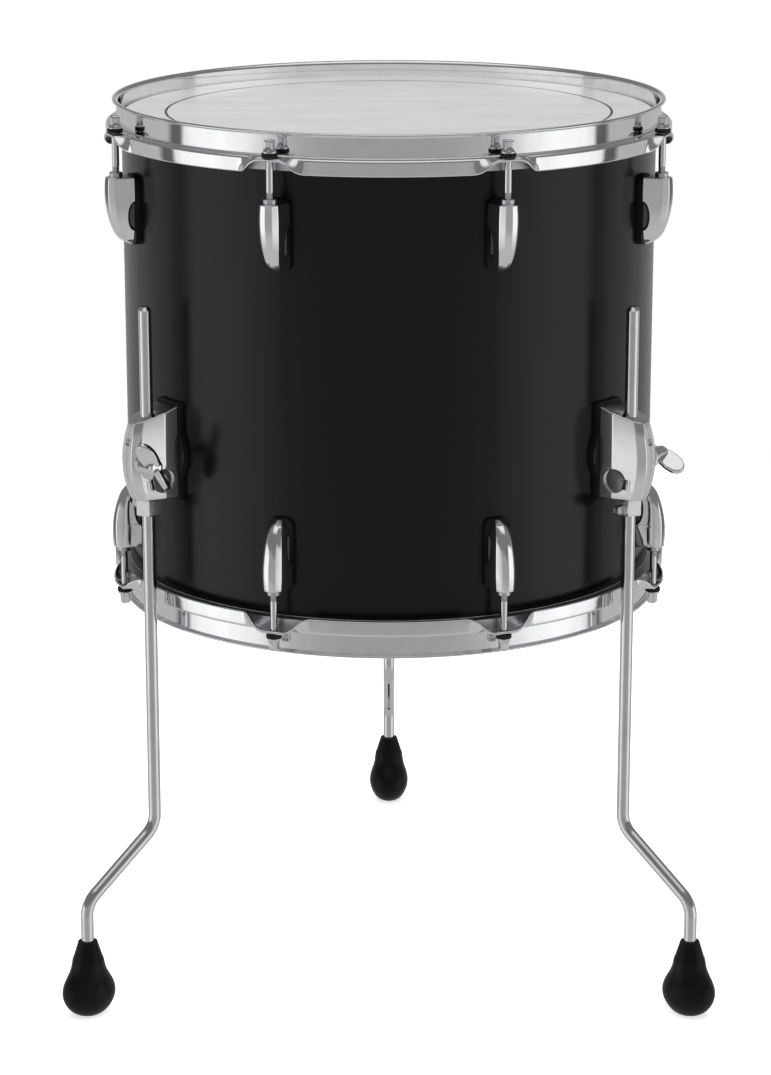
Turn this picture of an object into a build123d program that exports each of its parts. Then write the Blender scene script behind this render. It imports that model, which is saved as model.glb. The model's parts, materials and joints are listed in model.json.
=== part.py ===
from build123d import *
import os
from math import asin, cos

# A floor tom: a wooden drum shell with a head and a steel hoop on each end, standing on three bent
# legs. Millimetres, +Z up. The origin is on the floor, on the drum's axis, and the front is -Y.
# Drum parts are drawn for the upper half, at a height above the shell's middle, and mirrored for
# the lower half. Single parts are drawn along +X (outwards) and turned to their place.

# Shell
SHELL_R = 201.5
SHELL_WALL = 7.5
SHELL_DEPTH = 355.6
SHELL_MIDDLE_Z = 480.8
BEARING_EDGE = 1.8
OUTER_ROUND = 2.0
INNER_BEVEL = 3.8

# Hoop, all heights above the shell's middle
STEEL = 2.3
LIP_H = 189.7
LIP_R = 208.0
HOOP_WALL_R = 203.0
LEDGE_H = 173.0
SKIRT_R = 211.0
SKIRT_H = 161.7
EDGE_ROUND = 0.7

# Heads
FILM = 0.3
COLLAR_R = 201.8
FLESH_DEPTH = 7.7
FLESH_R = 209.8
RING_INNER_R = 168.0
RING_OUTER_R = 196.5

# Lugs and tension rods
LUG_COUNT = 8
FIRST_LUG_ANGLE = 22.5
ROD_CIRCLE_R = 216.3
ROD_R = 2.65
ROD_END_H = 122.0
EAR_R = 8.5
EAR_HALF_WIDTH = 15.0
EAR_HOLE_R = 3.2
WASHER_R = 5.8
WASHER_T = 3.0
FLANGE_R = 5.0
FLANGE_T = 1.6
KEY_HEAD = 6.35
KEY_HEAD_H = 7.8
LUG_H = 140.4
LUG_LENGTH = 50.5
LUG_GASKET_T = 3.5
LUG_DRAFT = 0.14
NUT_BODY_R = 4.4
NUT_COLLAR_R = 4.9
NUT_COLLAR_T = 3.6
NUT_DEPTH = 20.4
FIT = 0.05
CLEARANCE = 0.3
LUG_SCREW_DROP = 40.5
LUG_SCREW_R = 2.4
LUG_WINDOW_DROP = 28.5
LUG_WINDOW_HALF_H = 11.0
LUG_WINDOW_DEPTH = 5.0
# Each level of a lug: drop from its top, half width, reach from the shell's face
LUG_LEVELS = (
    (0.0, 7.3, 23.2),
    (9.0, 7.8, 23.8),
    (19.0, 7.7, 23.4),
    (28.0, 7.2, 21.8),
    (37.0, 6.2, 19.0),
    (42.5, 5.4, 16.2),
    (47.0, 4.3, 11.8),
    (LUG_LENGTH, 2.4, 5.6),
)
LUG_PAD_W = 19.6
LUG_PAD_MARGIN = 1.5
LUG_PAD_CORNER = 6.0
LUG_BUMP_HALF_W = 7.6
LUG_BUMP_MARGIN = 1.6
LUG_WASHER_R = 6.0
LUG_WASHER_T = 1.0
LUG_PAN_R = 4.4
LUG_PAN_H = 2.8

# Leg brackets and legs, heights above the floor
LEG_ANGLES = {"left": -52.5, "right": 52.5, "rear": 180.0}
WING_TURN = {"left": 57.0, "right": -28.0, "rear": 20.0}
LEG_CIRCLE_R = 222.6
LEG_R = 4.75
LEG_TOP_Z = 535.0
LEG_OFFSET = 62.0
UPPER_BEND_Z = 136.0
LOWER_BEND_Z = 87.5
BEND_R = 20.0
LEG_END_Z = 8.0
BRACKET_R = 204.4
BRACKET_BOTTOM_Z = 392.5
BRACKET_TOP_Z = 461.0
# Half of a bracket's plan: distance from the drum's axis, half width
BRACKET_HALF_PLAN = ((BRACKET_R, 13.6), (215.5, 13.2), (236.0, 10.4), (241.0, 6.0))
CROWN_TOP = (235.0, BRACKET_TOP_Z - 10.0)
CROWN_MIDDLE = (240.6, 420.0)
CROWN_BOTTOM = (231.0, BRACKET_BOTTOM_Z)
RECESS_R = 217.5
RECESS_Z = 406.5
RECESS_RADIUS = 9.0
RECESS_FLOOR = 11.8
PEEP_R = 240.5
PEEP_Z = 436.5
PEEP_SIZE = (5.0, 4.4, 5.4)
CLAMP_R = 233.0
CLAMP_Z = 422.0
CLAMP_BOLT_R = 3.0
CLAMP_BOLT_END = 6.8
CLAMP_RELEASE = 2.6
CLAMP_FACE = 10.0
SLOT = 0.8
NUT_SEAT_R = 8.2
WING_FOOT_R = 7.4
WING_FOOT_T = 3.0
WING_HUB_BASE_R = 6.8
WING_HUB_END_R = 5.6
WING_REACH = 22.0
# Each point of a wing's outline: distance along it, half its breadth
WING_HALF_CHORD = ((1.0, 6.0), (8.0, 7.2), (15.0, 6.8), (20.0, 4.4))
WING_BORE_END = 23.6
WING_HALF_T = 2.4
WING_MIDDLE = 25.0
WING_TWIST = 32.0
BRACKET_SCREW_Z = (403.0, 444.0)
BRACKET_SCREW_R = 3.0
BRACKET_SCREW_END = 214.5
BRACKET_WASHER_R = 8.0
BRACKET_WASHER_T = 1.6
BRACKET_PAD_W = 30.5
LOCK_TOP_Z = 392.2
LOCK_H = 12.4
LOCK_ACROSS = 18.0
LOCK_SCREW_R = 2.5
LOCK_BOSS_R = 5.2
LOCK_BOSS_END = 10.6
LOCK_HEAD_AT = 10.9
LOCK_COLLAR_R = 4.4
LOCK_COLLAR_END = 12.3
LOCK_KEY = 5.2
LOCK_KEY_H = 6.0
FOOT_TOP_Z = 58.0
# Each level of a foot: height, half size along the leg's direction, half size across it
FOOT_LEVELS = (
    (0.0, 8.0, 7.0),
    (2.5, 13.0, 10.8),
    (8.0, 18.2, 14.6),
    (18.0, 21.0, 17.0),
    (27.0, 18.2, 15.4),
    (35.0, 14.0, 13.0),
    (45.0, 11.4, 11.4),
)
FOOT_CAP_Z = 45.0
FOOT_CAP_R = (11.2, 7.2)

VENT_ANGLE = 135.0
VENT_R = 5.5


def around(angle):
    """The turn that carries a part drawn along +X to an angle counted from the front."""
    return Rot(0, 0, angle - 90)


def lug_angles():
    return [FIRST_LUG_ANGLE + 360 * i / LUG_COUNT for i in range(LUG_COUNT)]


def half(part, side):
    """Puts a part drawn for the upper half on the batter or the resonant side."""
    turned = part if side == "batter" else mirror(part, about=Plane.XY)
    return Pos(0, 0, SHELL_MIDDLE_Z) * turned


def copies(part, angles):
    return Compound(children=[around(angle) * part for angle in angles])


def ring(points, rounding=0):
    """A ring from its section's corners, given as (radius, height)."""
    section = Polygon(*points, align=None)
    if rounding:
        section = fillet(section.vertices(), rounding)
    return revolve(Plane.XZ * section, Axis.Z)


def rod(radius, low, high):
    return Pos(0, 0, low) * Cylinder(radius, high - low, align=(Align.CENTER, Align.CENTER, Align.MIN))


def radial_rod(radius, start, end, height, side=0):
    """A round rod that points outwards from the axis."""
    pin = Cylinder(radius, end - start, align=(Align.CENTER, Align.CENTER, Align.MIN))
    return Pos(start, side, height) * Rot(0, 90, 0) * pin


def cross_rod(radius, start, end):
    """A round rod across a bracket, from the left-hand to the right-hand side seen from outside."""
    pin = Cylinder(radius, end - start, align=(Align.CENTER, Align.CENTER, Align.MIN))
    return Pos(CLAMP_R, start, CLAMP_Z) * Rot(-90, 0, 0) * pin


def seat_radius(wall_r, half_width):
    """The radius at which a flat face of this half width touches the inside of a round wall."""
    return wall_r * cos(asin(half_width / wall_r))


# Shell and vent

def shell():
    top = SHELL_DEPTH / 2
    inner = SHELL_R - SHELL_WALL
    upper = [
        (inner, top - INNER_BEVEL - OUTER_ROUND),
        (inner + INNER_BEVEL, top - OUTER_ROUND / 2),
        (inner + INNER_BEVEL + 0.6, top),
        (inner + INNER_BEVEL + 0.6 + BEARING_EDGE, top),
        (SHELL_R, top - OUTER_ROUND),
    ]
    lower = [(r, -h) for r, h in reversed(upper)]
    body = ring(upper + lower)
    hole_from = inner - 5
    hole_to = SHELL_R + 5
    holes = [around(VENT_ANGLE) * radial_rod(VENT_R + 0.1, hole_from, hole_to, 0)]
    for angle in lug_angles():
        for sign in (1, -1):
            height = sign * (LUG_H - LUG_SCREW_DROP)
            holes.append(around(angle) * radial_rod(LUG_SCREW_R + CLEARANCE, hole_from, hole_to, height))
    for angle in LEG_ANGLES.values():
        for z in BRACKET_SCREW_Z:
            pin = radial_rod(BRACKET_SCREW_R + CLEARANCE, hole_from, hole_to, z - SHELL_MIDDLE_Z)
            holes.append(around(angle) * pin)
    return Pos(0, 0, SHELL_MIDDLE_Z) * (body - holes)


def vent_grommet():
    bore_r = VENT_R - 1.2
    inside = seat_radius(SHELL_R - SHELL_WALL, VENT_R + 1.5)
    tube = radial_rod(VENT_R, inside - 0.8, SHELL_R, 0)
    outer_flange = radial_rod(VENT_R + 3.5, SHELL_R, SHELL_R + 1.2, 0)
    outer_flange = chamfer(outer_flange.edges().group_by(Axis.X)[-1], 0.7)
    inner_lip = radial_rod(VENT_R + 1.5, inside - 0.8, inside, 0)
    bore = radial_rod(bore_r, inside - 5, SHELL_R + 5, 0)
    return Pos(0, 0, SHELL_MIDDLE_Z) * around(VENT_ANGLE) * (tube + outer_flange + inner_lip - bore)


# Hoops and heads

def hoop():
    """Triple-flanged steel hoop: lip, wall, ledge and skirt, with a flat ear at each tension rod."""
    section = [
        (HOOP_WALL_R, LEDGE_H - STEEL),
        (HOOP_WALL_R, LIP_H - STEEL),
        (HOOP_WALL_R + STEEL, LIP_H),
        (LIP_R, LIP_H),
        (LIP_R, LIP_H - STEEL),
        (HOOP_WALL_R + STEEL, LIP_H - STEEL),
        (HOOP_WALL_R + STEEL, LEDGE_H),
        (SKIRT_R + STEEL, LEDGE_H),
        (SKIRT_R + STEEL, SKIRT_H),
        (SKIRT_R, SKIRT_H),
        (SKIRT_R, LEDGE_H - STEEL),
    ]
    body = ring(section, EDGE_ROUND)
    gap_h = LEDGE_H - STEEL - SKIRT_H + 1
    gap = Pos(SKIRT_R, 0, LEDGE_H - STEEL) * Box(
        8, 2 * EAR_HALF_WIDTH, gap_h, align=(Align.CENTER, Align.CENTER, Align.MAX)
    )
    tip = Pos(ROD_CIRCLE_R, 0) * Circle(EAR_R)
    shoulders = [Pos(SKIRT_R - 1, sign * (EAR_HALF_WIDTH - 1)) * Circle(1.5) for sign in (1, -1)]
    outline = make_hull((tip + shoulders).edges())
    ear = Pos(0, 0, LEDGE_H - STEEL) * extrude(outline, STEEL)
    hole = Pos(ROD_CIRCLE_R, 0, 0) * rod(EAR_HOLE_R, SKIRT_H, LIP_H)
    gaps = [around(angle) * gap for angle in lug_angles()]
    ears = [around(angle) * ear for angle in lug_angles()]
    holes = [around(angle) * hole for angle in lug_angles()]
    return body - gaps + ears - holes


def head():
    """Plastic film over the bearing edge, with its collar going down into the flesh hoop."""
    top = SHELL_DEPTH / 2
    bottom = LEDGE_H - STEEL - FLESH_DEPTH
    return ring([
        (0, top),
        (COLLAR_R, top),
        (COLLAR_R, bottom),
        (COLLAR_R + FILM, bottom),
        (COLLAR_R + FILM, top + FILM),
        (0, top + FILM),
    ])


def flesh_hoop():
    top = LEDGE_H - STEEL
    inner = COLLAR_R + FILM
    return ring([(inner, top - FLESH_DEPTH), (FLESH_R, top - FLESH_DEPTH), (FLESH_R, top), (inner, top)])


def damping_ring():
    top = SHELL_DEPTH / 2
    corners = [(RING_INNER_R, top - FILM), (RING_OUTER_R, top - FILM), (RING_OUTER_R, top), (RING_INNER_R, top)]
    return ring(corners)


# Lugs and tension rods

def rod_washer():
    washer = rod(WASHER_R, LEDGE_H, LEDGE_H + WASHER_T)
    washer = fillet(washer.edges().filter_by(GeomType.CIRCLE), 0.5)
    return Pos(ROD_CIRCLE_R, 0, 0) * (washer - rod(ROD_R + CLEARANCE, LEDGE_H - 1, LEDGE_H + WASHER_T + 1))


def tension_rod():
    """Square-headed rod with a coned flange, threaded into the lug's nut."""
    seat = LEDGE_H + WASHER_T
    shank = rod(ROD_R, ROD_END_H, seat)
    shank = chamfer(shank.edges().group_by(Axis.Z)[0], 0.6)
    flange = rod(FLANGE_R, seat, seat + FLANGE_T)
    cone_h = 1.6
    cone = Pos(0, 0, seat + FLANGE_T) * Cone(
        FLANGE_R - 0.3, KEY_HEAD / 2, cone_h, align=(Align.CENTER, Align.CENTER, Align.MIN)
    )
    head_box = Pos(0, 0, seat + FLANGE_T) * Box(
        KEY_HEAD, KEY_HEAD, KEY_HEAD_H, align=(Align.CENTER, Align.CENTER, Align.MIN)
    )
    head_box = chamfer(head_box.edges().group_by(Axis.Z)[-1], 0.9)
    return Pos(ROD_CIRCLE_R, 0, 0) * (shank + flange + cone + head_box)


def swivel_nut():
    bottom = LUG_H - NUT_DEPTH
    body = rod(NUT_BODY_R, bottom, LUG_H)
    collar = rod(NUT_COLLAR_R, LUG_H, LUG_H + NUT_COLLAR_T)
    collar = fillet(collar.edges().group_by(Axis.Z)[-1], 0.8)
    thread = rod(ROD_R + FIT, bottom - 1, LUG_H + NUT_COLLAR_T + 1)
    return Pos(ROD_CIRCLE_R, 0, 0) * (body + collar - thread)


def lug_section(drop, half_width, reach):
    """One level section of a lug: drafted sides, two chamfers and two facets that meet in a ridge."""
    base = LUG_GASKET_T
    depth = reach - base
    facet_r = base + depth - min(0.2 * half_width, 0.3 * depth)
    chamfer_r = base + max(0.15 * depth, depth - 0.72 * half_width)
    foot = half_width + LUG_DRAFT * (chamfer_r - base)
    right_side = [(base, foot), (chamfer_r, half_width), (facet_r, 0.57 * half_width)]
    left_side = [(r, -y) for r, y in reversed(right_side)]
    corners = [(SHELL_R + r, y) for r, y in right_side + [(reach, 0)] + left_side]
    return Pos(0, 0, LUG_H - drop) * Polygon(*corners, align=None)


def window_outline(half_height, depth):
    """The arch in a lug's side, drawn on the plane that holds the axis."""
    base = SHELL_R + LUG_GASKET_T
    height = LUG_H - LUG_WINDOW_DROP
    ellipse = Pos(base, height) * Ellipse(depth, half_height)
    keep = Pos(base, height) * Rectangle(depth + 1, 2 * half_height + 2, align=(Align.MIN, Align.CENTER))
    return Plane.XZ * (ellipse & keep)


def lug_casing():
    """Bullet-shaped cast lug: flat towards the hoop and curving into the shell at its tail."""
    sections = [lug_section(*level) for level in LUG_LEVELS]
    body = loft(sections)
    pocket = Pos(ROD_CIRCLE_R, 0, 0) * rod(NUT_BODY_R + FIT, LUG_H - NUT_DEPTH - 1, LUG_H + 1)
    window = extrude(window_outline(LUG_WINDOW_HALF_H, LUG_WINDOW_DEPTH), 10, both=True)
    screw_hole = radial_rod(LUG_SCREW_R + FIT, SHELL_R, SHELL_R + 11, LUG_H - LUG_SCREW_DROP)
    return body - pocket - window - screw_hole


def lug_gasket():
    """Rubber pad between lug and shell, with a block that shows in the window in the lug's sides."""
    pad_h = LUG_LENGTH + LUG_PAD_MARGIN
    pad = Pos(0, LUG_H + LUG_PAD_MARGIN - pad_h / 2) * RectangleRounded(LUG_PAD_W, pad_h, LUG_PAD_CORNER)
    start = SHELL_R - 1
    sheet = Pos(start, 0, 0) * extrude(Plane.YZ * pad, LUG_GASKET_T + 1)
    bump_outline = window_outline(LUG_WINDOW_HALF_H - LUG_BUMP_MARGIN, LUG_WINDOW_DEPTH - LUG_BUMP_MARGIN)
    bump = extrude(bump_outline, LUG_BUMP_HALF_W, both=True)
    screw_hole = radial_rod(LUG_SCREW_R + CLEARANCE, SHELL_R - 5, SHELL_R + 10, LUG_H - LUG_SCREW_DROP)
    return sheet + bump - rod(SHELL_R, 0, LUG_H + 20) - screw_hole


def lug_screw():
    """Pan-headed screw that holds a lug from inside the shell, on a washer."""
    height = LUG_H - LUG_SCREW_DROP
    washer_face = seat_radius(SHELL_R - SHELL_WALL, LUG_WASHER_R) - LUG_WASHER_T
    shank = radial_rod(LUG_SCREW_R, washer_face, SHELL_R + 10, height)
    pan = radial_rod(LUG_PAN_R, washer_face - LUG_PAN_H, washer_face, height)
    pan = fillet(pan.edges().group_by(Axis.X)[0], LUG_PAN_H / 2)
    slot = Pos(washer_face - LUG_PAN_H, 0, height) * (Box(2.4, 5.0, 1.1) + Box(2.4, 1.1, 5.0))
    return shank + pan - slot


def lug_screw_washer():
    height = LUG_H - LUG_SCREW_DROP
    outer_face = seat_radius(SHELL_R - SHELL_WALL, LUG_WASHER_R)
    plate = radial_rod(LUG_WASHER_R, outer_face - LUG_WASHER_T, outer_face, height)
    return plate - radial_rod(LUG_SCREW_R + CLEARANCE, outer_face - 3, outer_face + 3, height)


# Leg brackets

def bracket_body():
    """Cast bracket: slanted side faces, a crowned outer face and a top that rises to the shell."""
    left_side = [(r, -y) for r, y in BRACKET_HALF_PLAN]
    plan = Polygon(*left_side, *reversed(BRACKET_HALF_PLAN), align=None)
    block = Pos(0, 0, BRACKET_BOTTOM_Z) * extrude(plan, BRACKET_TOP_Z - BRACKET_BOTTOM_Z)
    crown = ThreePointArc(CROWN_TOP, CROWN_MIDDLE, CROWN_BOTTOM)
    back_r = BRACKET_R - 1
    rest = Polyline(CROWN_BOTTOM, (back_r, BRACKET_BOTTOM_Z), (back_r, BRACKET_TOP_Z), CROWN_TOP)
    side_view = make_face(crown + rest)
    return block & extrude(Plane.XZ * side_view, 20, both=True)


def bracket_recess(sign):
    """Shallow round recess low in a bracket's side face."""
    depth = 20
    disc = Cylinder(RECESS_RADIUS, depth)
    return Pos(RECESS_R, sign * (RECESS_FLOOR + depth / 2), RECESS_Z) * Rot(90, 0, 0) * disc


def leg_bracket():
    body = bracket_body()
    bore = Pos(LEG_CIRCLE_R, 0, 0) * rod(LEG_R + FIT, BRACKET_BOTTOM_Z - 5, BRACKET_TOP_Z + 5)
    middle_z = (BRACKET_BOTTOM_Z + BRACKET_TOP_Z) / 2
    slot = Pos(LEG_CIRCLE_R, 0, middle_z) * Box(30, SLOT, 90, align=(Align.MIN, Align.CENTER, Align.CENTER))
    peep_hole = Pos(PEEP_R, 0, PEEP_Z) * Box(*PEEP_SIZE)
    bolt_hole = cross_rod(CLAMP_BOLT_R + CLEARANCE, -CLAMP_BOLT_END - CLAMP_RELEASE - CLEARANCE, 20)
    nut_seat = cross_rod(NUT_SEAT_R, CLAMP_FACE, 20)
    recesses = [bracket_recess(sign) for sign in (1, -1)]
    screw_end = BRACKET_SCREW_END + 1
    screws = [radial_rod(BRACKET_SCREW_R + FIT, BRACKET_R - 5, screw_end, z) for z in BRACKET_SCREW_Z]
    return body - bore - slot - peep_hole - bolt_hole - nut_seat - recesses - screws


def bracket_gasket():
    """Rubber pad under a bracket, with a wide round lobe at mid-height."""
    low = BRACKET_BOTTOM_Z - 3
    high = BRACKET_TOP_Z + 2
    middle = (low + high) / 2
    pad = Pos(0, middle) * RectangleRounded(BRACKET_PAD_W, high - low, 3)
    lobe = Pos(0, middle - 2) * Ellipse(20, 24)
    start = SHELL_R - 2
    sheet = Pos(start, 0, 0) * extrude(Plane.YZ * (pad + lobe), BRACKET_R - start)
    holes = [radial_rod(BRACKET_SCREW_R + CLEARANCE, SHELL_R - 5, BRACKET_R + 5, z) for z in BRACKET_SCREW_Z]
    return sheet - rod(SHELL_R, low - 5, high + 5) - holes


def bracket_screws():
    washer_face = seat_radius(SHELL_R - SHELL_WALL, BRACKET_WASHER_R) - BRACKET_WASHER_T
    parts = []
    for z in BRACKET_SCREW_Z:
        shank = radial_rod(BRACKET_SCREW_R, washer_face, BRACKET_SCREW_END, z)
        hexagon = Pos(washer_face - 4.2, 0, z) * extrude(Plane.YZ * RegularPolygon(5.6, 6), 4.2)
        parts.append(shank + hexagon)
    return parts


def bracket_washers():
    outer_face = seat_radius(SHELL_R - SHELL_WALL, BRACKET_WASHER_R)
    parts = []
    for z in BRACKET_SCREW_Z:
        plate = radial_rod(BRACKET_WASHER_R, outer_face - BRACKET_WASHER_T, outer_face, z)
        parts.append(plate - radial_rod(BRACKET_SCREW_R + CLEARANCE, outer_face - 5, outer_face + 5, z))
    return parts


def clamp_bolt():
    """Stud across the bracket's slot. Its blind end lies in the jaw opposite the wing nut."""
    stud = cross_rod(CLAMP_BOLT_R, -CLAMP_BOLT_END, WING_BORE_END - 0.6)
    return chamfer(stud.edges().filter_by(GeomType.CIRCLE), 0.5)


def wing_leaf():
    """One wing along +X, twisted like a propeller's blade about its own length."""
    upper = list(WING_HALF_CHORD)
    lower = [(x, -y) for x, y in reversed(WING_HALF_CHORD)]
    outline = Spline(*upper, (WING_REACH, 0.0), *lower) + Line(lower[-1], upper[0])
    blade = extrude(make_face(outline), WING_HALF_T, both=True)
    blade = fillet(blade.edges().filter_by(GeomType.BSPLINE), 1.5)
    return Pos(0, WING_MIDDLE, 0) * Rot(WING_TWIST, 0, 0) * blade


def wing_nut(turn):
    """Wing nut: round foot, coned hub and two twisted wings."""
    hub_start = CLAMP_FACE + WING_FOOT_T
    hub_length = WING_MIDDLE + 3.5 - hub_start
    foot_disc = cross_rod(WING_FOOT_R, CLAMP_FACE, hub_start)
    cone = Cone(WING_HUB_BASE_R, WING_HUB_END_R, hub_length, align=(Align.CENTER, Align.CENTER, Align.MIN))
    hub = Pos(CLAMP_R, hub_start, CLAMP_Z) * Rot(-90, 0, 0) * cone
    hub = fillet(hub.edges().group_by(Axis.Y)[-1], 2.4)
    leaves = [Pos(CLAMP_R, 0, CLAMP_Z) * Rot(0, angle - turn, 0) * wing_leaf() for angle in (0, 180)]
    bore = cross_rod(CLAMP_BOLT_R + FIT, CLAMP_FACE - 1, WING_BORE_END)
    return foot_disc + hub + leaves - bore


# Legs

def memory_lock():
    """Faceted collar clamped on the leg just under its bracket, to keep the leg's height."""
    low = LOCK_TOP_Z - LOCK_H
    block = Pos(LEG_CIRCLE_R, 0, low) * extrude(RegularPolygon(LOCK_ACROSS / 2, 6, major_radius=False), LOCK_H)
    block = chamfer(block.edges().group_by(Axis.Z)[-1] + block.edges().group_by(Axis.Z)[0], 0.8)
    boss = lock_pin(LOCK_BOSS_R, LEG_R + 0.15, LOCK_BOSS_END)
    bore = Pos(LEG_CIRCLE_R, 0, 0) * rod(LEG_R + FIT, low - 5, LOCK_TOP_Z + 5)
    thread = lock_pin(LOCK_SCREW_R + FIT, 0, LOCK_BOSS_END + 1.4)
    return block + boss - bore - thread


def lock_pin(radius, start, end):
    """A round rod from the leg's axis towards the left-hand side seen from outside."""
    pin = Cylinder(radius, end - start, align=(Align.CENTER, Align.CENTER, Align.MIN))
    return Pos(LEG_CIRCLE_R, -start, LOCK_TOP_Z - LOCK_H / 2) * Rot(90, 0, 0) * pin


def lock_screw():
    """Key-headed screw that tightens the memory lock."""
    shank = lock_pin(LOCK_SCREW_R, LEG_R + CLEARANCE, LOCK_HEAD_AT)
    collar = lock_pin(LOCK_COLLAR_R, LOCK_HEAD_AT, LOCK_COLLAR_END)
    key_middle = LOCK_COLLAR_END - 0.1 + LOCK_KEY_H / 2
    key_block = Box(LOCK_KEY, LOCK_KEY_H, LOCK_KEY)
    square = Pos(LEG_CIRCLE_R, -key_middle, LOCK_TOP_Z - LOCK_H / 2) * key_block
    square = chamfer(square.edges().group_by(Axis.Y)[0], 0.7)
    return shank + collar + square


def leg():
    """Bent steel rod: straight through the bracket, then outwards and down into its foot."""
    foot_r = LEG_CIRCLE_R + LEG_OFFSET
    path = FilletPolyline(
        (LEG_CIRCLE_R, 0, LEG_TOP_Z),
        (LEG_CIRCLE_R, 0, UPPER_BEND_Z),
        (foot_r, 0, LOWER_BEND_Z),
        (foot_r, 0, LEG_END_Z),
        radius=BEND_R,
    )
    section = Plane(origin=(LEG_CIRCLE_R, 0, LEG_TOP_Z), z_dir=(0, 0, -1)) * Circle(LEG_R)
    body = sweep(section, path=path)
    return chamfer(body.edges().group_by(Axis.Z)[-1], 2.6, 1.9)


def foot():
    """Pear-shaped rubber foot, longer along the leg's direction than across it."""
    foot_r = LEG_CIRCLE_R + LEG_OFFSET
    pear = loft([Pos(0, 0, z) * Ellipse(along, across) for z, along, across in FOOT_LEVELS])
    cap_h = FOOT_TOP_Z - FOOT_CAP_Z
    cap = Pos(0, 0, FOOT_CAP_Z) * Cone(*FOOT_CAP_R, cap_h, align=(Align.CENTER, Align.CENTER, Align.MIN))
    socket = rod(LEG_R + FIT, LEG_END_Z, FOOT_TOP_Z + 1)
    return Pos(foot_r, 0, 0) * (pear + cap - socket)


def export_all(parts):
    os.makedirs("parts", exist_ok=True)
    for name, part in parts.items():
        export_step(part, f"parts/{name}.step")


def drum_parts():
    parts = {"shell": shell(), "vent_grommet": vent_grommet()}
    angles = lug_angles()
    screws = []
    washers = []
    for side in ("batter", "resonant"):
        parts[f"{side}_hoop"] = half(hoop(), side)
        parts[f"{side}_head"] = half(head(), side)
        parts[f"{side}_flesh_hoop"] = half(flesh_hoop(), side)
        parts[f"{side}_rod_washers"] = half(copies(rod_washer(), angles), side)
        parts[f"{side}_lug_casings"] = half(copies(lug_casing(), angles), side)
        parts[f"{side}_lug_gaskets"] = half(copies(lug_gasket(), angles), side)
        parts[f"{side}_swivel_nuts"] = half(copies(swivel_nut(), angles), side)
        for i, angle in enumerate(angles):
            parts[f"{side}_tension_rod_{i + 1}"] = half(around(angle) * tension_rod(), side)
        screws += half(copies(lug_screw(), angles), side).solids()
        washers += half(copies(lug_screw_washer(), angles), side).solids()
    parts["batter_damping_ring"] = half(damping_ring(), "batter")
    parts["lug_screws"] = Compound(children=screws)
    parts["lug_screw_washers"] = Compound(children=washers)
    return parts


def leg_parts():
    parts = {}
    screws = []
    washers = []
    gaskets = []
    for name, angle in LEG_ANGLES.items():
        parts[f"{name}_leg_bracket"] = around(angle) * leg_bracket()
        parts[f"{name}_clamp_bolt"] = around(angle) * clamp_bolt()
        parts[f"{name}_wing_nut"] = around(angle) * wing_nut(WING_TURN[name])
        parts[f"{name}_memory_lock"] = around(angle) * memory_lock()
        parts[f"{name}_memory_lock_screw"] = around(angle) * lock_screw()
        parts[f"{name}_leg"] = around(angle) * leg()
        parts[f"{name}_foot"] = around(angle) * foot()
        gaskets.append(around(angle) * bracket_gasket())
        screws += [around(angle) * screw for screw in bracket_screws()]
        washers += [around(angle) * washer for washer in bracket_washers()]
    parts["leg_bracket_gaskets"] = Compound(children=gaskets)
    parts["leg_bracket_screws"] = Compound(children=screws)
    parts["leg_bracket_washers"] = Compound(children=washers)
    return parts


export_all({**drum_parts(), **leg_parts()})
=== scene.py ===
import json
import math

import bmesh
import bpy
import numpy as np
from mathutils import Matrix, Vector


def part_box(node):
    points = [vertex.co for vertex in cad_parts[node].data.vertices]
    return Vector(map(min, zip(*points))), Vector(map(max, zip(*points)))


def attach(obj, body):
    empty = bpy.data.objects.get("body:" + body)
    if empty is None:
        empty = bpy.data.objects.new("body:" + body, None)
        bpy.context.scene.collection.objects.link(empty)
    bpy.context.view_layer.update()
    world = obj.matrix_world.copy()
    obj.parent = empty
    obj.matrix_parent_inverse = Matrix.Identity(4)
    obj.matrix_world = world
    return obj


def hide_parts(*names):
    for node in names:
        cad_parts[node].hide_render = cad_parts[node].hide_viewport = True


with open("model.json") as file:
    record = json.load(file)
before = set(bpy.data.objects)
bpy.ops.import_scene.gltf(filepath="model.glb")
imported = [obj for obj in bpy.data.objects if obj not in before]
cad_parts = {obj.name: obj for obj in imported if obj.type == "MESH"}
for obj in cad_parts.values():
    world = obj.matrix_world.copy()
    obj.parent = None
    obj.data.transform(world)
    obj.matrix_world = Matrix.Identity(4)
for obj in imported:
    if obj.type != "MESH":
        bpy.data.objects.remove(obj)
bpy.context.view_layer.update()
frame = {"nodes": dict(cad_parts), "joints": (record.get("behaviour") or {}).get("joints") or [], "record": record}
NODES = frame["nodes"]
RECORD = frame["record"]
MM = 0.001

# ---------------------------------------------------------------- measures from the frame

SHELL_LOW, SHELL_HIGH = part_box("shell")
SHELL_R = (SHELL_HIGH.y - SHELL_LOW.y) / 2
MIDDLE_Z = (SHELL_LOW.z + SHELL_HIGH.z) / 2
HOOP_LOW, HOOP_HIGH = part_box("batter_hoop")
SKIRT_OUTER_R = (HOOP_HIGH.x - HOOP_LOW.x) / 2
HEAD_LOW, HEAD_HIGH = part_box("batter_head")
HEAD_R = (HEAD_HIGH.x - HEAD_LOW.x) / 2
FILM = 0.3 * MM
RING_LOW, RING_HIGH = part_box("batter_damping_ring")
LUG_ANGLES = [22.5 + 45.0 * i for i in range(8)]


def joint_place(name):
    """A hinge's point at rest."""
    found = next(j for j in frame["joints"] if j["name"] == name)
    return Vector(found["pos_m"])


ROD_CIRCLE_R = joint_place("batter_rod_1_turn").to_2d().length


# ---------------------------------------------------------------- mesh helpers

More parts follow.
